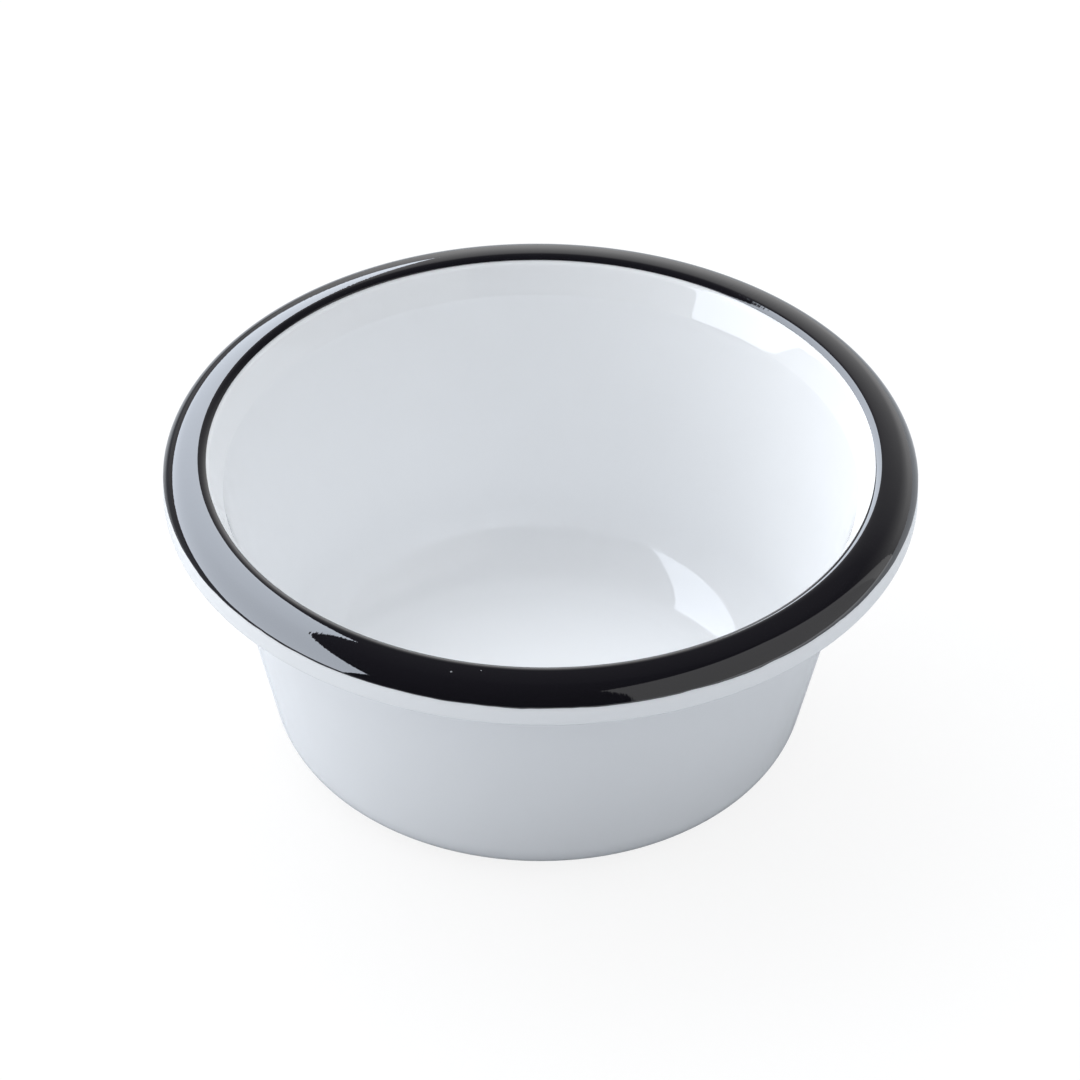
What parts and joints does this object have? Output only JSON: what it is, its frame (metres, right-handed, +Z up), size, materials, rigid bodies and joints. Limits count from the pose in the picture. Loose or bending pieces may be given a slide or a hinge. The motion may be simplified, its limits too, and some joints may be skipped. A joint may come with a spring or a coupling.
{
  "type": "ramekin",
  "caption": "Small round enamelled steel ramekin with a leaning wall, a rounded base corner, a rolled rim with round shoulders and a short lip, and a black band over the top of the rim.",
  "frame": {"origin": "centre of the base, on the surface the ramekin stands on", "axes": "+Z up along the axis of the round body; the part is round, so X and Y are alike"},
  "size_m": [0.08, 0.08, 0.0352],
  "materials": {
    "steel": "drawn steel under the enamel",
    "ground_enamel": "dark glassy ground coat",
    "white_enamel": "glossy white vitreous enamel",
    "black_enamel": "glossy black vitreous enamel"
  },
  "bodies": {
    "root": {"steel_shell": "steel", "inner_ground_coat": "ground_enamel", "outer_ground_coat": "ground_enamel", "inner_white_coat": "white_enamel", "outer_white_coat": "white_enamel", "black_rim_band": "black_enamel"}
  },
  "joints": []
}
